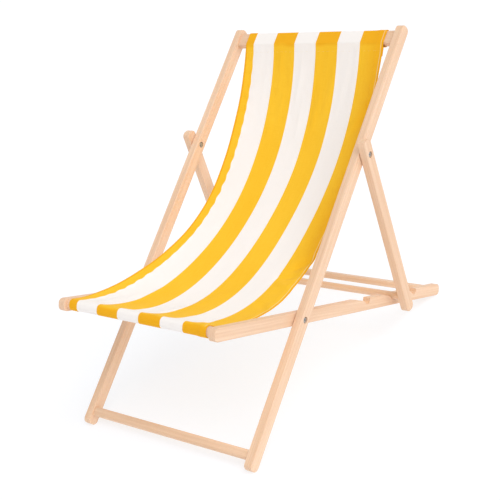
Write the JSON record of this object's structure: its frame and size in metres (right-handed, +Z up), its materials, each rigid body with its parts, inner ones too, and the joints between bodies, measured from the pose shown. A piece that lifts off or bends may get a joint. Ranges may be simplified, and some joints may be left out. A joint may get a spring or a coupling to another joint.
{
  "type": "folding deck chair",
  "caption": "Folding beech deck chair: a leaning main frame, a seat frame and a prop frame pivoted inside and outside it, and a striped canvas sling.",
  "frame": {"origin": "on the ground, at the middle of the chair's outline seen from above", "axes": "+Z up, +Y towards the back of the chair, +X to the right of a person facing +Y"},
  "size_m": [0.619, 0.991, 0.8301],
  "materials": {
    "beech": "smooth pale beech with a light oil",
    "steel": "zinc plated",
    "canvas": "woven cotton canvas, yellow and off-white stripes along its length"
  },
  "bodies": {
    "main_frame": {"main_rail_left": "beech", "main_rail_right": "beech", "head_bar": "beech", "foot_stretcher": "beech", "seat_pivot_bolts": "steel", "seat_pivot_head_washers": "steel", "seat_pivot_nut_washers": "steel", "seat_pivot_nuts": "steel", "seat_pivot_spacers": "steel", "prop_pivot_bolts": "steel", "prop_pivot_head_washers": "steel", "prop_pivot_nut_washers": "steel", "prop_pivot_nuts": "steel", "prop_pivot_spacers": "steel", "sling": "canvas"},
    "seat_frame": {"seat_rail_left": "beech", "seat_rail_right": "beech", "seat_front_bar": "beech", "seat_rear_bar": "beech"},
    "prop_frame": {"prop_arm_left": "beech", "prop_arm_right": "beech", "prop_dowel": "beech"}
  },
  "joints": [
    {"name": "fold", "type": "hinge", "parent": "main_frame", "child": "seat_frame", "pos_m": [0, -0.19047, 0.26295], "axis": [1, 0, 0], "range_deg": [0, 61], "deforming": ["sling"]},
    {"name": "prop_swing", "type": "hinge", "parent": "main_frame", "child": "prop_frame", "pos_m": [0, 0.16381, 0.56875], "axis": [1, 0, 0], "range_deg": [-56, 0]}
  ],
  "couplings": [
    {"joint": "prop_swing", "follows": "fold", "ratio": -0.918}
  ]
}
